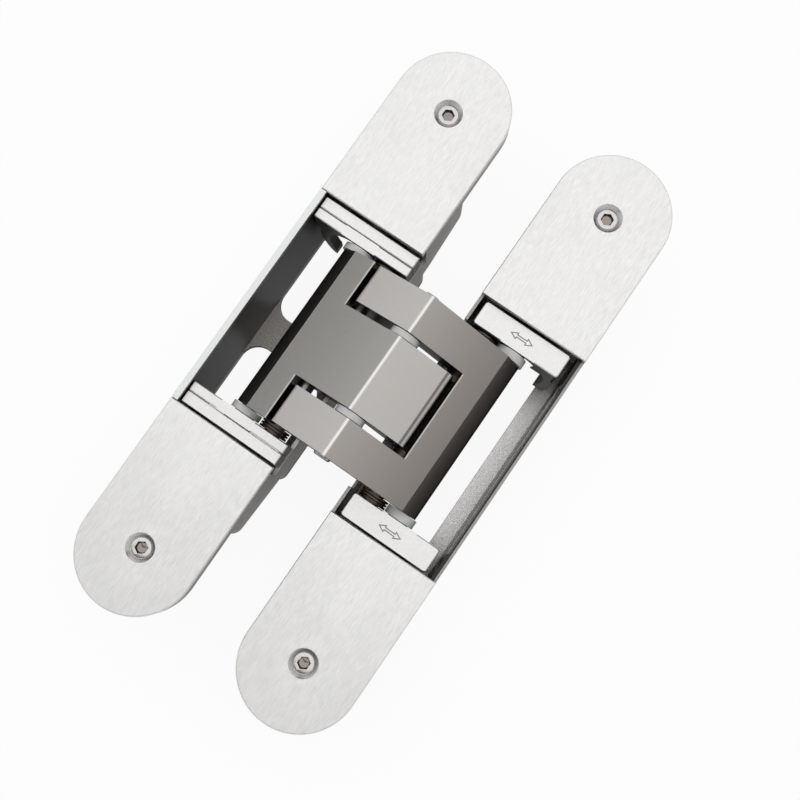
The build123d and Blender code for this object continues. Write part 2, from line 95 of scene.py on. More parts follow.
class NodeBuilder:
    """Short ways to add and join the nodes of one material.

    Attributes:
        material: The material that is built.
        tree: The node tree that nodes are added to.
        shader: The surface shader of the material.
    """

    def __init__(self, name: str) -> None:
        """Start a material with one surface shader.

        Args:
            name: The material's name.
        """
        self.material = bpy.data.materials.new(name)
        self.material.use_nodes = True
        self.tree = self.material.node_tree
        self.shader = self.tree.nodes["Principled BSDF"]

    @classmethod
    def for_world(cls, world: bpy.types.World) -> "NodeBuilder":
        """Start on the nodes of a world.

        Args:
            world: The world, with its nodes in use.

        Returns:
            A builder with no material and no surface shader.
        """
        builder = cls.__new__(cls)
        builder.tree = world.node_tree
        return builder

    def node(self, kind: str, **settings: object) -> bpy.types.Node:
        """Add a node.

        Args:
            kind: The node's type name.
            **settings: Values for its sockets, or for its own properties.

        Returns:
            The new node.
        """
        node = self.tree.nodes.new(kind)
        for key, value in settings.items():
            socket = key.replace("_", " ").title()
            if socket in node.inputs:
                node.inputs[socket].default_value = value
            else:
                setattr(node, key, value)
        return node

    def join(self, source: bpy.types.NodeSocket, target: bpy.types.NodeSocket) -> None:
        """Link an output to an input."""
        self.tree.links.new(source, target)

    def position(self, stretch: tuple[float, float, float]) -> bpy.types.NodeSocket:
        """Object coordinates, scaled along each axis.

        Args:
            stretch: The scale along X, Y and Z.

        Returns:
            The scaled position.
        """
        place = self.node("ShaderNodeTexCoord")
        mapping = self.node("ShaderNodeMapping", scale=stretch)
        self.join(place.outputs["Object"], mapping.inputs["Vector"])
        return mapping.outputs["Vector"]

    def noise(self, where: bpy.types.NodeSocket, size: float, detail: float = 3.0) -> bpy.types.NodeSocket:
        """A noise pattern.

        Args:
            where: The position to read it at.
            size: The size of its features, in metres.
            detail: How many finer layers it has.

        Returns:
            Its value, around one half.
        """
        noise = self.node("ShaderNodeTexNoise", scale=1.0 / size, detail=detail)
        self.join(where, noise.inputs["Vector"])
        return noise.outputs["Fac"]

    def ranged(self, value: bpy.types.NodeSocket, low: float, high: float,
               source: Span = (0.3, 0.7)) -> bpy.types.NodeSocket:
        """Map a pattern to a range.

        Args:
            value: The pattern.
            low: The result at the low end of the source range.
            high: The result at its high end.
            source: The stretch of the pattern's values that is used.

        Returns:
            The mapped value.
        """
        node = self.node("ShaderNodeMapRange", from_min=source[0], from_max=source[1], to_min=low, to_max=high)
        self.join(value, node.inputs["Value"])
        return node.outputs["Result"]

    def tinted(self, factor: bpy.types.NodeSocket, dark: Colour, light: Colour) -> bpy.types.NodeSocket:
        """Blend two colours.

        Args:
            factor: 0 for the dark colour, 1 for the light one.
            dark: The dark colour.
            light: The light colour.

        Returns:
            The blended colour.
        """
        mix = self.node("ShaderNodeMix", data_type="RGBA")
        mix.inputs[MixInput.COLOUR_A].default_value = (*dark, 1.0)
        mix.inputs[MixInput.COLOUR_B].default_value = (*light, 1.0)
        self.join(factor, mix.inputs["Factor"])
        return mix.outputs[MixOutput.COLOUR]

    def mixed(self, factor: bpy.types.NodeSocket, first: bpy.types.NodeSocket,
              second: bpy.types.NodeSocket) -> bpy.types.NodeSocket:
        """Blend two colour sockets.

        Args:
            factor: 0 for the first, 1 for the second.
            first: The first colour.
            second: The second colour.

        Returns:
            The blended colour.
        """
        mix = self.node("ShaderNodeMix", data_type="RGBA")
        self.join(factor, mix.inputs["Factor"])
        self.join(first, mix.inputs[MixInput.COLOUR_A])
        self.join(second, mix.inputs[MixInput.COLOUR_B])
        return mix.outputs[MixOutput.COLOUR]

    def mixed_value(self, factor: bpy.types.NodeSocket, first: bpy.types.NodeSocket,
                    second: float) -> bpy.types.NodeSocket:
        """Blend a value with a plain number.

        Args:
            factor: 0 for the value, 1 for the number.
            first: The value.
            second: The number.

        Returns:
            The blended value.
        """
        mix = self.node("ShaderNodeMix", data_type="FLOAT")
        self.join(factor, mix.inputs["Factor"])
        self.join(first, mix.inputs[MixInput.VALUE_A])
        mix.inputs[MixInput.VALUE_B].default_value = second
        return mix.outputs[MixOutput.VALUE]

    def scaled_colour(self, colour: Colour, shade: bpy.types.NodeSocket) -> bpy.types.NodeSocket:
        """A colour made darker by a pattern.

        Args:
            colour: The colour at full strength.
            shade: The pattern, 1 for full strength.

        Returns:
            The patterned colour.
        """
        return self.tinted(shade, (0.0, 0.0, 0.0), colour)

    def vector(self, operation: str, first: bpy.types.NodeSocket,
               second: list[float] | None = None) -> bpy.types.NodeSocket:
        """Do a sum on a vector.

        Args:
            operation: The sum's name.
            first: The vector.
            second: A fixed second vector.

        Returns:
            The resulting vector.
        """
        node = self.node("ShaderNodeVectorMath", operation=operation)
        self.join(first, node.inputs[0])
        if second is not None:
            node.inputs[1].default_value = second
        return node.outputs["Vector"]

    def scalar(self, operation: str, first: bpy.types.NodeSocket,
               second: bpy.types.NodeSocket) -> bpy.types.NodeSocket:
        """Do a sum on two values.

        Args:
            operation: The sum's name.
            first: The first value.
            second: The second value.

        Returns:
            The resulting value.
        """
        node = self.node("ShaderNodeMath", operation=operation)
        self.join(first, node.inputs[0])
        self.join(second, node.inputs[1])
        return node.outputs[0]

    def bump(self, height: bpy.types.NodeSocket, depth: float,
             base: bpy.types.NodeSocket) -> bpy.types.NodeSocket:
        """Turn a height pattern into a surface normal.

        Args:
            height: The pattern.
            depth: Its depth, in metres.
            base: The normal to start from.

        Returns:
            The bumped normal.
        """
        node = self.node("ShaderNodeBump", strength=1.0, distance=depth)
        self.join(height, node.inputs["Height"])
        self.join(base, node.inputs["Normal"])
        return node.outputs["Normal"]


@dataclass(frozen=True)
class Zone:
    """A stretch of a piece with a tone of its own or with painted light or shade, as a box about the part's axes.

    Attributes:
        low: Lowest corner, in millimetres.
        high: Highest corner, in millimetres.
        colour: Colour of the stretch.
        roughness: Its roughness.
        grain: Share of the finish's grain depth that it keeps.
        fade: Distance past the box over which it blends out, in millimetres.
        speckle: How much darker the finish's grain makes its darkest specks.
        facing: Range of the faces' upward slope over which they come to belong to it, if not all do.
    """

    low: Corner
    high: Corner
    colour: Colour
    roughness: float = 0.35
    grain: float = 1.0
    fade: float = 0.04
    speckle: float = 0.15
    facing: Span | None = None

    def share(self, build: NodeBuilder) -> bpy.types.NodeSocket:
        """The zone's share of the surface, 1 inside its box and 0 outside it.

        Args:
            build: The builder whose tree gets the nodes.

        Returns:
            The share of the zone's own tone.
        """
        place = build.node("ShaderNodeTexCoord")
        centre = [(a + b) / 2 * MM for a, b in zip(self.low, self.high)]
        half = [(b - a) / 2 * MM for a, b in zip(self.low, self.high)]
        reach = build.vector("ABSOLUTE", build.vector("SUBTRACT", place.outputs["Object"], centre))
        split = build.node("ShaderNodeSeparateXYZ")
        build.join(build.vector("SUBTRACT", reach, half), split.inputs[0])
        across = build.scalar("MAXIMUM", split.outputs["X"], split.outputs["Y"])
        outside = build.scalar("MAXIMUM", across, split.outputs["Z"])
        share = build.ranged(outside, 1.0, 0.0, source=(0.0, self.fade * MM))
        if self.facing is None:
            return share
        normal = build.node("ShaderNodeSeparateXYZ")
        build.join(place.outputs["Normal"], normal.inputs[0])
        return build.scalar("MULTIPLY", share, build.ranged(normal.outputs["Z"], 0.0, 1.0, source=self.facing))


@dataclass(frozen=True)
class MetalFinish:
    """A worked metal surface with a grain, cloudy variation and slightly rounded edges.

    Attributes:
        name: The finish's name.
        light: Colour of the bright part of the grain.
        dark: Colour of the dark part of the grain.
        roughness: Lowest and highest roughness.
        grain: The way that the grain runs.
        grain_size: Width of the grain's lines, in metres.
        grain_depth: Depth of the grain, in metres.
        cloud_size: Size of the cloudy variation, in metres.
        cloud_detail: Finer layers of the cloudy variation.
        cloud_low: Share of the light colour that is left in the darkest cloud.
        edge_radius: Radius at which sharp edges catch the light, in metres.
        edge_samples: Rays that round each sharp edge.
        anisotropic: How far highlights stretch across the grain.
        metallic: 1 for bare metal, 0 for plastic.
        zones: Stretches with a tone of their own or with painted light or shade, the last on top.
    """

    name: str
    light: Colour
    dark: Colour
    roughness: Span
    grain: Grain = Grain.EVEN
    grain_size: float = 0.25 * MM
    grain_depth: float = 0.002 * MM
    cloud_size: float = 9 * MM
    cloud_detail: float = 2.0
    cloud_low: float = 0.7
    edge_radius: float = 0.12 * MM
    edge_samples: int = 8
    anisotropic: float = 0.0
    metallic: float = 1.0
    zones: tuple[Zone, ...] = ()

    def material(self) -> bpy.types.Material:
        """Build the finish as a material.

        Returns:
            The material.
        """
        build = NodeBuilder(self.name)
        shader = build.shader
        shader.inputs["Metallic"].default_value = self.metallic
        shader.inputs["Anisotropic"].default_value = self.anisotropic
        lines = build.noise(build.position(self.grain.value), self.grain_size)
        cloud = build.noise(build.position(Grain.EVEN.value), self.cloud_size, detail=self.cloud_detail)
        blend = build.node("ShaderNodeMath", operation="MULTIPLY")
        build.join(build.ranged(lines, 0.0, 1.0), blend.inputs[0])
        build.join(build.ranged(cloud, self.cloud_low, 1.0), blend.inputs[1])
        colour = build.tinted(blend.outputs[0], self.dark, self.light)
        roughness = build.ranged(lines, self.roughness[1], self.roughness[0])
        height = lines
        for zone in self.zones:
            share = zone.share(build)
            shade = build.ranged(lines, 1.0 - zone.speckle, 1.0)
            colour = build.mixed(share, colour, build.scaled_colour(zone.colour, shade))
            roughness = build.mixed_value(share, roughness, zone.roughness)
            if zone.grain != 1.0:
                kept = build.ranged(share, 1.0, zone.grain, source=(0.0, 1.0))
                height = build.scalar("MULTIPLY", height, kept)
        build.join(colour, shader.inputs["Base Color"])
        build.join(roughness, shader.inputs["Roughness"])
        soft_edge = build.node("ShaderNodeBevel", samples=self.edge_samples, radius=self.edge_radius)
        build.join(build.bump(height, self.grain_depth, soft_edge.outputs["Normal"]), shader.inputs["Normal"])
        return build.material


# Reaches of the zones, in millimetres: past the leaves, past the arms, and to the ends of the blocks and rooms.
LEAF_SIDE, LEAF_END = 40, 82
ARM_REACH = 30
BLOCK_END = 50
ROOM_END = 33.05

# Slopes of the faces that a zone takes in: those that face up, those that slant up, and those that drop steeply.
FACE_UP = (0.8, 0.95)
SLANT_UP = (0.3, 0.6)
STEEP = (0.55, 0.25)

# Cover plates: brushed along the leaf, with a plain rim and a turned countersink round each screw.
SCREW_SIDE, SCREW_END = 23.5, 64.45
SINK_REACH = 4.2
SINKS = tuple(Zone((x - SINK_REACH, y - SINK_REACH, 0), (x + SINK_REACH, y + SINK_REACH, 30.45),
                   (0.74, 0.73, 0.72), roughness=0.24, fade=0.12, speckle=0.35)
              for x in (-SCREW_SIDE, SCREW_SIDE) for y in (-SCREW_END, SCREW_END))
COVER_RIM = Zone((-LEAF_SIDE, -LEAF_END, 0), (LEAF_SIDE, LEAF_END, 30.25), (0.80, 0.795, 0.78),
                 roughness=0.34, fade=0.1)
COVER = MetalFinish("brushed_cover", light=(0.92, 0.915, 0.90), dark=(0.80, 0.795, 0.775), roughness=(0.34, 0.46),
                    grain=Grain.ALONG_LEAF, grain_size=0.14 * MM, grain_depth=0.005 * MM, anisotropic=0.3,
                    zones=(COVER_RIM, *SINKS))

# Arms: smooth satin, with painted shade on the steep flanks, a painted highlight along the ridge, and warmer on
# the door side.
ARM_FLANKS_PAINTED_SHADE = Zone((-ARM_REACH, -ARM_REACH, 0), (ARM_REACH, ARM_REACH, 45), (0.08, 0.077, 0.074),
                  roughness=0.3, facing=STEEP, speckle=0.05)
# Painted highlight: a pale, smoother strip along the ridge of each arm.
T_RIDGE_PAINTED_HIGHLIGHT = Zone((-0.7, -ARM_REACH, 40), (-0.35, ARM_REACH, 42), (0.80, 0.79, 0.77),
               roughness=0.2, fade=0.25, speckle=0.05)
C_RIDGE_PAINTED_HIGHLIGHT = replace(T_RIDGE_PAINTED_HIGHLIGHT, low=(0.35, -ARM_REACH, 40), high=(0.7, ARM_REACH, 42))
C_WARM = Zone((0.9, -ARM_REACH, 0), (ARM_REACH, ARM_REACH, 45), (0.53, 0.49, 0.46),
              roughness=0.28, fade=0.4, speckle=0.05)
ARM = MetalFinish("satin_arm", light=(0.53, 0.515, 0.49), dark=(0.505, 0.49, 0.465), roughness=(0.27, 0.30),
                  grain_size=0.12 * MM, grain_depth=0.0006 * MM, zones=(ARM_FLANKS_PAINTED_SHADE, T_RIDGE_PAINTED_HIGHLIGHT))
WARM_ARM = replace(ARM, name="satin_arm_warm", zones=(C_WARM, ARM_FLANKS_PAINTED_SHADE, C_RIDGE_PAINTED_HIGHLIGHT))

# Sliding blocks and plates: pale satin faces, painted shade in the groove round the double arrow, and painted
# shade on the walls below the faces.
# Painted shade: the up-facing floor of the arrow's groove is dark.
ARROW_GROOVE_PAINTED_SHADE = Zone((-LEAF_SIDE, -BLOCK_END, 28.3), (LEAF_SIDE, BLOCK_END, 28.54), (0.32, 0.31, 0.295),
                   facing=FACE_UP)
BLOCK_WALLS_PAINTED_SHADE = Zone((-LEAF_SIDE, -BLOCK_END, 0), (LEAF_SIDE, BLOCK_END, 28.25), (0.07, 0.07, 0.065),
                   roughness=0.4, fade=0.2)
BLOCK = MetalFinish("satin_block", light=(0.91, 0.90, 0.88), dark=(0.83, 0.82, 0.80), roughness=(0.36, 0.46),
                    grain_depth=0.003 * MM, zones=(BLOCK_WALLS_PAINTED_SHADE, ARROW_GROOVE_PAINTED_SHADE))

# Casings: sandy grey outside, painted shade on the inner walls, painted light on the floors, pale top edges on
# the frame casing and a dark one on the door casing, and painted shade round the windows' edges.
FRAME_ROOM_PAINTED_SHADE = Zone((-36.94, -ROOM_END, 2.3), (-9.6, ROOM_END, 29.1), (0.035, 0.034, 0.033),
                  roughness=0.32, grain=0.1)
# Painted light: the floors are paler than the casing, as if lit from above; their speckle is the sandy grain.
FRAME_FLOOR_PAINTED_LIGHT = Zone((-36.95, -ROOM_END, 2.0), (-9.6, ROOM_END, 2.27), (0.62, 0.58, 0.54),
                   roughness=0.45, fade=0.02, speckle=0.6)
FRAME_TOP = Zone((-38.7, -40, 30.45), (-36.7, 40, 30.8), (0.84, 0.85, 0.85), roughness=0.36, grain=0.05)
FRAME_NEAR_TOP = Zone((-9.9, -33.2, 18.45), (-8.6, 33.2, 18.8), (0.80, 0.79, 0.78), roughness=0.36, grain=0.05)
# Painted shade on the door casing's inner walls.
DOOR_ROOM_PAINTED_SHADE = Zone((9.2, -ROOM_END, 2.3), (36.94, ROOM_END, 28.1), (0.07, 0.068, 0.065),
                 roughness=0.32, grain=0.1)
# Painted light on the door casing's floor, with the sandy grain in its speckle.
DOOR_FLOOR_PAINTED_LIGHT = Zone((9.2, -ROOM_END, 2.0), (36.95, ROOM_END, 2.27), (0.99, 0.975, 0.95),
                  roughness=0.3, fade=0.02, speckle=0.5)
DOOR_TOP = Zone((36.7, -ROOM_END, 27.9), (37.8, ROOM_END, 28.1), (0.05, 0.048, 0.045),
                roughness=0.36, grain=0.05)
# Painted shade on the thin faces round the windows.
WINDOW_EDGES_PAINTED_SHADE = Zone((-36.8, -ROOM_END, 0.05), (36.8, ROOM_END, 2.05), (0.06, 0.058, 0.055), roughness=0.4)
CASTING = MetalFinish("cast_casing", light=(0.47, 0.455, 0.435), dark=(0.30, 0.288, 0.27), roughness=(0.36, 0.50),
                      grain_size=0.28 * MM, grain_depth=0.06 * MM,
                      zones=(FRAME_ROOM_PAINTED_SHADE, DOOR_ROOM_PAINTED_SHADE, WINDOW_EDGES_PAINTED_SHADE, FRAME_FLOOR_PAINTED_LIGHT, DOOR_FLOOR_PAINTED_LIGHT, FRAME_TOP,
                             FRAME_NEAR_TOP, DOOR_TOP))

# Pins and bushes: turned, with lines round them. Washers and rollers: pale bearing plastic.
PIN = MetalFinish("turned_steel", light=(0.50, 0.50, 0.49), dark=(0.40, 0.40, 0.39), roughness=(0.24, 0.32),
                  grain=Grain.ROUND_PIN)
WASHER = MetalFinish("pale_washer", light=(0.60, 0.60, 0.595), dark=(0.54, 0.54, 0.535), roughness=(0.30, 0.38),
                     metallic=0.0)
BUSH = MetalFinish("bronze_bush", light=(0.17, 0.135, 0.11), dark=(0.10, 0.08, 0.065), roughness=(0.28, 0.40),
                   grain=Grain.ROUND_PIN)

# Screws: bright heads, with painted shade in the socket, near black on its walls and brown on its floor.
SOCKET_PAINTED_SHADE = Zone((-LEAF_SIDE, -LEAF_END, 28.0), (LEAF_SIDE, LEAF_END, 29.36), (0.05, 0.042, 0.038),
              roughness=0.25, fade=0.1)
SOCKET_FLOOR_PAINTED_SHADE = Zone((-LEAF_SIDE, -LEAF_END, 27.5), (LEAF_SIDE, LEAF_END, 28.5), (0.34, 0.30, 0.27),
                    roughness=0.2, facing=SLANT_UP)
SCREW = MetalFinish("screw_steel", light=(0.73, 0.715, 0.705), dark=(0.64, 0.625, 0.615), roughness=(0.22, 0.32),
                    zones=(SOCKET_PAINTED_SHADE, SOCKET_FLOOR_PAINTED_SHADE))

SLOT_FINISHES = {
    "brushed_cover": COVER,
    "satin_arm": ARM,
    "satin_block": BLOCK,
    "cast_casing": CASTING,
    "turned_steel": PIN,
    "white_washer": WASHER,
    "bronze_bush": BUSH,
    "screw_steel": SCREW,
}

NODE_FINISHES = {"c_arm": WARM_ARM}


@dataclass
class CoverScrews:
    """The socket screws that hold the cover plates, with their threads.

    Attributes:
        sides: Sides of the round head and shank.
        head_radius: Radius of the head.
        shank_radius: Radius of the thread's root.
        cone_height: Height of the countersunk cone.
        rim_height: Height of the straight rim above the cone.
        socket_across: Distance across the flats of the hexagon socket.
        socket_depth: Depth of its straight walls.
        socket_tip: Depth of the drilled cone below them.
        socket_point: Width of the cone's end, as a share of the socket's width.
        edge_width: Width of the broken edges.
        thread_pitch: Distance from one turn of the thread to the next.
        thread_height: Height of the thread above its root.
        tip_length: Length of the tip that has no thread.
        tip_face: Width of the tip's flat face inside a ring that carries its shading, as a share of the shank's.
    """

    sides: int = 48
    head_radius: float = 2.45 * MM
    shank_radius: float = 1.22 * MM
    cone_height: float = 0.42 * MM
    rim_height: float = 0.08 * MM
    socket_across: float = 2.8 * MM
    socket_depth: float = 1.0 * MM
    socket_tip: float = 0.35 * MM
    socket_point: float = 0.1
    edge_width: float = 0.06 * MM
    thread_pitch: float = 0.5 * MM
    thread_height: float = 0.26 * MM
    tip_length: float = 0.35 * MM
    tip_face: float = 0.75

    def build(self) -> None:
        """Make a screw for each leaf, copy it, and put the pair in its node's place."""
        made = SCREW.material()
        for leaf in ("frame", "door"):
            node = f"{leaf}_cover_screws"
            low, high = (Vector(corner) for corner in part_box(node))
            across = (low.x + high.x) / 2
            screw = self.screw(high.z - low.z)
            screws = [screw, copied(screw)]
            for piece, along in zip(screws, (low.y + self.head_radius, high.y - self.head_radius)):
                piece.location = (across, along, high.z)
            pair = joined(screws, f"{node}_threaded")
            apply_place(pair)
            pair.data.materials.append(made)
            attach(pair, f"{leaf}_leaf")
            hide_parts(node)
            log.info("%s stands for %s", pair.name, node)

    def screw(self, length: float) -> bpy.types.Object:
        """One screw, standing with its head's top at the origin.

        Args:
            length: The whole length.

        Returns:
            The screw.
        """
        shank = length - self.cone_height - self.rim_height
        neck = -length + shank
        grow = self.head_radius / self.shank_radius
        deselect_all()
        bpy.ops.mesh.primitive_cylinder_add(vertices=self.sides, radius=self.shank_radius, depth=shank,
                                            location=(0, 0, -length + shank / 2))
        body = bpy.context.object
        apply_place(body)
        bpy.ops.object.mode_set(mode="EDIT")
        select_faces_at(body, neck, up=True)
        bpy.ops.mesh.extrude_region_move(TRANSFORM_OT_translate={"value": (0, 0, self.cone_height)})
        bpy.ops.transform.resize(value=(grow, grow, 1), center_override=(0, 0, neck))
        bpy.ops.mesh.extrude_region_move(TRANSFORM_OT_translate={"value": (0, 0, self.rim_height)})
        select_faces_at(body, -length, up=False)
        bpy.ops.mesh.extrude_region_move(TRANSFORM_OT_translate={"value": (0, 0, 0)})
        bpy.ops.transform.resize(value=(self.tip_face, self.tip_face, 1), center_override=(0, 0, -length))
        bpy.ops.object.mode_set(mode="OBJECT")
        self.cut_socket(body)
        break_edges(body, self.edge_width)
        return joined([body, self.thread(length)], "screw")

    def cut_socket(self, body: bpy.types.Object) -> None:
        """Cut the hexagon socket with its drilled bottom.

        Args:
            body: The screw's head and shank.
        """
        deselect_all()
        reach = self.socket_across / sqrt(3)
        bpy.ops.mesh.primitive_cylinder_add(vertices=6, radius=reach, depth=2 * self.socket_depth)
        cutter = bpy.context.object
        bpy.ops.object.mode_set(mode="EDIT")
        select_faces_at(cutter, -self.socket_depth, up=False)
        bpy.ops.mesh.extrude_region_move(TRANSFORM_OT_translate={"value": (0, 0, -self.socket_tip)})
        bpy.ops.transform.resize(value=(self.socket_point, self.socket_point, 1), center_override=(0, 0, 0))
        bpy.ops.object.mode_set(mode="OBJECT")
        cut_away(body, cutter)

    def thread(self, length: float) -> bpy.types.Object:
        """The thread's ridge, as a triangle wound round the shank.

        Args:
            length: The screw's whole length.

        Returns:
            The ridge.
        """
        deselect_all()
        start = -length + self.tip_length
        bpy.ops.mesh.primitive_circle_add(vertices=3, radius=self.thread_height, fill_type="NOTHING",
                                          location=(self.shank_radius, 0, start), rotation=(radians(90), 0, 0))
        ridge = bpy.context.object
        bpy.ops.object.mode_set(mode="EDIT")
        bpy.ops.mesh.select_all(action="SELECT")
        bpy.ops.transform.rotate(value=radians(90), orient_axis="Y", center_override=ridge.location)
        bpy.ops.object.mode_set(mode="OBJECT")
        apply_place(ridge)
        threaded = length - self.tip_length - self.cone_height - self.rim_height - self.socket_depth
        wind = ridge.modifiers.new("wind", "SCREW")
        wind.axis = "Z"
        wind.screw_offset = self.thread_pitch
        wind.iterations = int(threaded / self.thread_pitch)
        wind.steps = wind.render_steps = self.sides // 2
        bpy.ops.object.modifier_apply(modifier=wind.name)
        return ridge


@dataclass
class PivotBushes:
    """The stacks of thin bushes on the fixed pivots, between the arms and the plates.

    Attributes:
        sides: Sides of the round discs.
        radius: Radius of the discs.
        groove_radius: Radius of the grooves between them.
        bore_radius: Radius of the hole for the pin.
        discs: Discs in a stack.
        groove_width: Width of a groove.
        start: Distance from the middle of the hinge to the stack's inner end.
        edge_width: Width of the broken edges.
    """

    sides: int = 56
    radius: float = 3.85 * MM
    groove_radius: float = 3.35 * MM
    bore_radius: float = 2.28 * MM
    discs: int = 3
    groove_width: float = 0.16 * MM
    start: float = 22.6 * MM
    edge_width: float = 0.05 * MM

    def build(self) -> None:
        """Make a stack for each leaf, copy it, and put the pair in its node's place."""
        made = BUSH.material()
        for node, body in (("frame_pivot_bushes", "frame_depth"), ("door_pivot_bushes", "door_blocks")):
            low, high = (Vector(corner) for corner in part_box(node))
            middle = (low + high) / 2
            stack = self.stack(high.y - self.start)
            stacks = [stack, copied(stack)]
            for piece, end in zip(stacks, (1, -1)):
                piece.rotation_euler = (radians(-90 * end), 0, 0)
                piece.location = (middle.x, end * self.start, middle.z)
                apply_place(piece)
            pair = joined(stacks, f"{node}_stacked")
            pair.data.materials.append(made)
            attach(pair, body)
            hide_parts(node)
            log.info("%s stands for %s", pair.name, node)

    def stack(self, length: float) -> bpy.types.Object:
        """One stack, standing on the origin.

        Args:
            length: Its whole length.

        Returns:
            The stack.
        """
        disc = (length - (self.discs - 1) * self.groove_width) / self.discs
        waist = self.groove_radius / self.radius
        through = 4 * length
        deselect_all()
        bpy.ops.mesh.primitive_cylinder_add(vertices=self.sides, radius=self.radius, depth=disc,
                                            location=(0, 0, disc / 2))
        body = bpy.context.object
        apply_place(body)
        bpy.ops.object.mode_set(mode="EDIT")
        select_faces_at(body, disc, up=True)
        for _ in range(self.discs - 1):
            for scale, rise in ((waist, self.groove_width), (1 / waist, disc)):
                bpy.ops.mesh.extrude_region_move(TRANSFORM_OT_translate={"value": (0, 0, 0)})
                bpy.ops.transform.resize(value=(scale, scale, 1), center_override=(0, 0, 0))
                bpy.ops.mesh.extrude_region_move(TRANSFORM_OT_translate={"value": (0, 0, rise)})
        deselect_all()
        bpy.ops.mesh.primitive_cylinder_add(vertices=self.sides, radius=self.bore_radius, depth=through)
        cut_away(body, bpy.context.object)
        break_edges(body, self.edge_width)
        return body


def cut_away(body: bpy.types.Object, cutter: bpy.types.Object) -> None:
    """Cut one shape out of another and delete it.

    Args:
        body: The shape that stays.
        cutter: The shape that is cut away.
    """
    deselect_all()
    body.select_set(True)
    bpy.context.view_layer.objects.active = body
    cut = body.modifiers.new("cut", "BOOLEAN")
    cut.operation = "DIFFERENCE"
    cut.solver = "EXACT"
    cut.object = cutter
    bpy.ops.object.modifier_apply(modifier=cut.name)
    bpy.data.objects.remove(cutter, do_unlink=True)


def break_edges(body: bpy.types.Object, width: float) -> None:
    """Break the sharp edges of a piece and shade its round faces smooth.

    Args:
        body: The piece, which is active.
        width: Width of the broken edges.
    """
    bevel = body.modifiers.new("edges", "BEVEL")
    bevel.width = width
    bevel.segments = BROKEN_EDGE_STEPS
    bevel.limit_method = "ANGLE"
    bevel.angle_limit = radians(BROKEN_EDGE_TURN)
    bpy.ops.object.modifier_apply(modifier=bevel.name)
    bpy.ops.object.shade_smooth_by_angle(angle=radians(SMOOTH_EDGE_TURN))


def deselect_all() -> None:
    """Leave edit mode with nothing selected."""
    if bpy.context.mode != "OBJECT":
        bpy.ops.object.mode_set(mode="OBJECT")
    bpy.ops.object.select_all(action="DESELECT")


def apply_place(piece: bpy.types.Object) -> None:
    """Move a piece's place, turn and scale into its mesh.

    Args:
        piece: The piece.
    """
    deselect_all()
    piece.select_set(True)
    bpy.context.view_layer.objects.active = piece
    bpy.ops.object.transform_apply(location=True, rotation=True, scale=True)


def copied(piece: bpy.types.Object) -> bpy.types.Object:
    """Copy a piece, with a mesh of its own.

    Args:
        piece: The piece.

    Returns:
        The copy, in the same place.
    """
    deselect_all()
    piece.select_set(True)
    bpy.context.view_layer.objects.active = piece
    bpy.ops.object.duplicate(linked=False)
    return bpy.context.object


def joined(pieces: list[bpy.types.Object], name: str) -> bpy.types.Object:
    """Join pieces into one object.

    Args:
        pieces: The pieces, the first of which stays.
        name: The new object's name.

    Returns:
        The joined object.
    """
    deselect_all()
    for piece in pieces:
        piece.select_set(True)
    bpy.context.view_layer.objects.active = pieces[0]
    bpy.ops.object.join()
    pieces[0].name = pieces[0].data.name = name
    return pieces[0]


def select_faces_at(piece: bpy.types.Object, height: float, up: bool) -> None:
    """In edit mode, select the level faces at a height.

    Args:
        piece: The piece being edited.
        height: The height, in the piece's own coordinates.
        up: Whether the faces point up, or else down.
    """
    bpy.ops.mesh.select_all(action="DESELECT")
    bpy.ops.mesh.select_mode(type="FACE")
    bpy.ops.object.mode_set(mode="OBJECT")
    for face in piece.data.polygons:
        facing = face.normal.z if up else -face.normal.z
        face.select = abs(face.center.z - height) < LEVEL_WITHIN and facing > LEVEL_NORMAL
    bpy.ops.object.mode_set(mode="EDIT")


def dress_cad_nodes() -> None:
    """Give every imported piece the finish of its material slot."""
    made = {slot: finish.material() for slot, finish in SLOT_FINISHES.items()}
    own = {name: finish.material() for name, finish in NODE_FINISHES.items()}
    for row in frame["record"]["subparts"]:
        node = frame["nodes"][row["node"]]
        node.data.materials.clear()
        node.data.materials.append(own.get(row["node"], made[row["material_slot"]]))
        log.info("%s dressed as %s", row["node"], row["material_slot"])


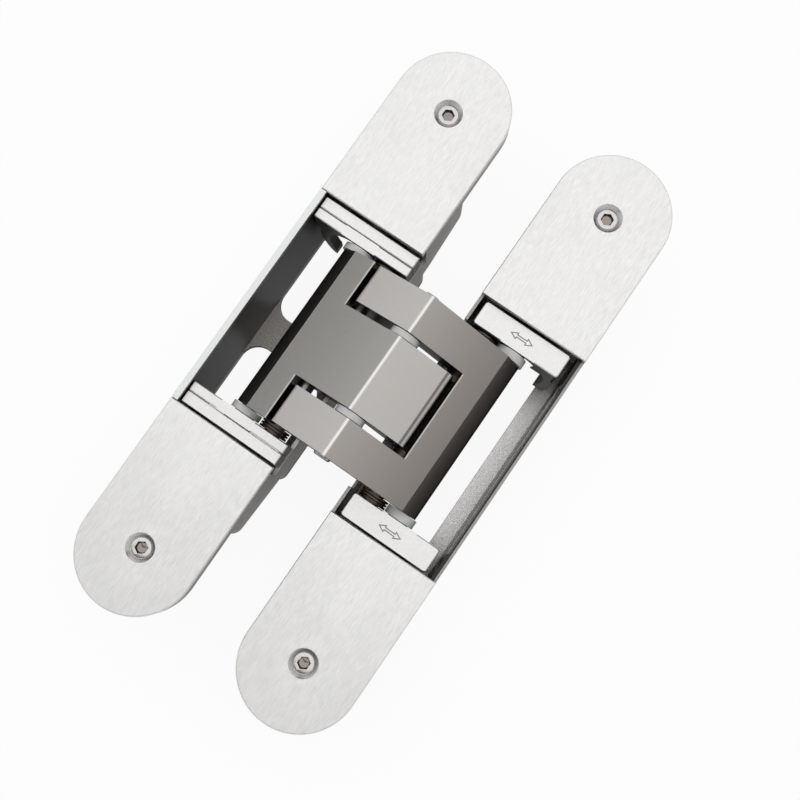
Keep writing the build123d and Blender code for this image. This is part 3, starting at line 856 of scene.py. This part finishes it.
@dataclass
class Studio:
    """A pale floor, a pale room and one broad soft light overhead.

    Attributes:
        floor_reach: Half the side of the floor, in metres.
        floor_gap: Distance of the floor below the casing backs, in metres.
        floor_colour: Matt colour of the floor.
        floor_roughness: Roughness of the floor.
        light_height: Height of the soft light above the floor, in metres.
        light_size: Sides of the soft light across and along the leaves, in metres.
        light_shift: Place of the soft light's middle across and along the leaves, in metres.
        light_power: Power of the soft light, in watts.
        room_level: Brightness of the room for matt surfaces.
        upper_room_level: Brightness of the upper part of the room in mirrors.
        horizon_band: Sines of the elevations between which the white backdrop fades out.
        direct_white: Share of plain white on the floor, as the camera sees it.
        mirrored_white: Share of plain white on the floor, as metal shows it.
    """

    floor_reach: float = 20.0
    floor_gap: float = 0.02 * MM
    floor_colour: Colour = (0.9, 0.9, 0.9)
    floor_roughness: float = 0.9
    light_height: float = 1.0
    light_size: Span = (2.28, 1.68)
    light_shift: Span = (-0.21, 0.41)
    light_power: float = 11.7
    room_level: float = 0.4
    upper_room_level: float = 0.1
    horizon_band: Span = (0.1, 0.5)
    direct_white: float = 0.92
    mirrored_white: float = 0.15

    def build(self) -> None:
        """Add the floor, the light and the room."""
        self.floor()
        self.light()
        self.room()

    def floor(self) -> None:
        """Add the floor that the casing backs stand on."""
        deselect_all()
        bpy.ops.mesh.primitive_plane_add(size=2 * self.floor_reach, location=(0, 0, -self.floor_gap))
        plane = bpy.context.object
        plane.name = "floor"
        plane.data.materials.append(self.white_background("floor_white"))

    def white_background(self, name: str) -> bpy.types.Material:
        """A matt white that the camera sees as nearly plain white, and metal as a share of it.

        Args:
            name: The material's name.

        Returns:
            The material.
        """
        build = NodeBuilder(name)
        build.shader.inputs["Base Color"].default_value = (*self.floor_colour, 1.0)
        build.shader.inputs["Roughness"].default_value = self.floor_roughness
        glow = build.node("ShaderNodeEmission", color=(1, 1, 1, 1), strength=1.0)
        mix = build.node("ShaderNodeMixShader")
        path = build.node("ShaderNodeLightPath")
        share = build.node("ShaderNodeMix", data_type="FLOAT")
        build.join(path.outputs["Is Camera Ray"], share.inputs[0])
        mirrored = build.node("ShaderNodeMath", operation="MULTIPLY")
        build.join(self.seen_directly(build), mirrored.inputs[0])
        mirrored.inputs[1].default_value = self.mirrored_white
        build.join(mirrored.outputs[0], share.inputs[MixInput.VALUE_A])
        share.inputs[MixInput.VALUE_B].default_value = self.direct_white
        build.join(share.outputs[MixOutput.VALUE], mix.inputs[0])
        build.join(build.shader.outputs[0], mix.inputs[1])
        build.join(glow.outputs[0], mix.inputs[2])
        build.join(mix.outputs[0], build.tree.nodes["Material Output"].inputs["Surface"])
        return build.material

    def seen_directly(self, build: NodeBuilder) -> bpy.types.NodeSocket:
        """Tell rays from the camera, a mirror or glass, as 1, from all others, as 0.

        Args:
            build: The builder whose tree gets the nodes.

        Returns:
            The share of the white background.
        """
        path = build.node("ShaderNodeLightPath")
        first = build.node("ShaderNodeMath", operation="MAXIMUM")
        build.join(path.outputs["Is Camera Ray"], first.inputs[0])
        build.join(path.outputs["Is Glossy Ray"], first.inputs[1])
        second = build.node("ShaderNodeMath", operation="MAXIMUM")
        build.join(first.outputs[0], second.inputs[0])
        build.join(path.outputs["Is Transmission Ray"], second.inputs[1])
        return second.outputs[0]

    def light(self) -> None:
        """Add the soft light, facing down."""
        bpy.ops.object.light_add(type="AREA", location=(*self.light_shift, self.light_height))
        lamp = bpy.context.object
        lamp.name = "overhead_softbox"
        lamp.data.shape = "RECTANGLE"
        lamp.data.size, lamp.data.size_y = self.light_size
        lamp.data.energy = self.light_power

    def room(self) -> None:
        """Light the scene from all round, with a white backdrop that fades out higher up."""
        world = bpy.data.worlds.new("studio_room")
        bpy.context.scene.world = world
        world.use_nodes = True
        build = NodeBuilder.for_world(world)
        direction = build.node("ShaderNodeTexCoord")
        split = build.node("ShaderNodeSeparateXYZ")
        build.join(direction.outputs["Generated"], split.inputs[0])
        seen = build.ranged(split.outputs["Z"], 1.0, self.upper_room_level, source=self.horizon_band)
        blend = build.node("ShaderNodeMix", data_type="FLOAT")
        blend.inputs[MixInput.VALUE_A].default_value = self.room_level
        build.join(self.seen_directly(build), blend.inputs["Factor"])
        build.join(seen, blend.inputs[MixInput.VALUE_B])
        background = build.tree.nodes["Background"]
        background.inputs["Color"].default_value = (1, 1, 1, 1)
        build.join(blend.outputs[MixOutput.VALUE], background.inputs["Strength"])


@dataclass
class PhotoCamera:
    """The photograph's viewpoint, as a perspective fit gives it.

    Attributes:
        place: Where the camera stands, in millimetres.
        turn: Its tilt about the part's axes, in radians, before the picture is turned.
        picture_turn: How far the part lies turned in the picture, in degrees.
        focal_pixels: The focal length, in pixels of the photograph.
        picture_side: The side of the photograph, in pixels.
        sensor_width: The width of the camera's sensor, in millimetres.
    """

    place: Corner = (26.969, -26.842, 291.838)
    turn: tuple[float, float, float] = (-0.0987, -0.0758, 0.0172)
    picture_turn: float = 35.3
    focal_pixels: float = 1102.8
    picture_side: float = 800.0
    sensor_width: float = 36.0

    def build(self) -> None:
        """Add the camera and make it the scene's camera."""
        data = bpy.data.cameras.new("photo_camera")
        data.sensor_width = self.sensor_width
        data.lens = self.focal_pixels * self.sensor_width / self.picture_side
        data.clip_start = MM
        camera = bpy.data.objects.new("photo_camera", data)
        bpy.context.scene.collection.objects.link(camera)
        to_camera = Matrix.Rotation(radians(-self.picture_turn), 3, "Z") @ Euler(self.turn, "XYZ").to_matrix()
        camera.matrix_world = Matrix.Translation(Vector(self.place) * MM) @ to_camera.transposed().to_4x4()
        bpy.context.scene.camera = camera


def main() -> None:
    """Dress the hinge, light it and set the camera."""
    logging.basicConfig(level=logging.INFO, format="%(name)s: %(message)s")
    dress_cad_nodes()
    CoverScrews().build()
    PivotBushes().build()
    Studio().build()
    PhotoCamera().build()
    bpy.context.scene.view_settings.view_transform = "Standard"


if __name__ == "__main__":
    main()
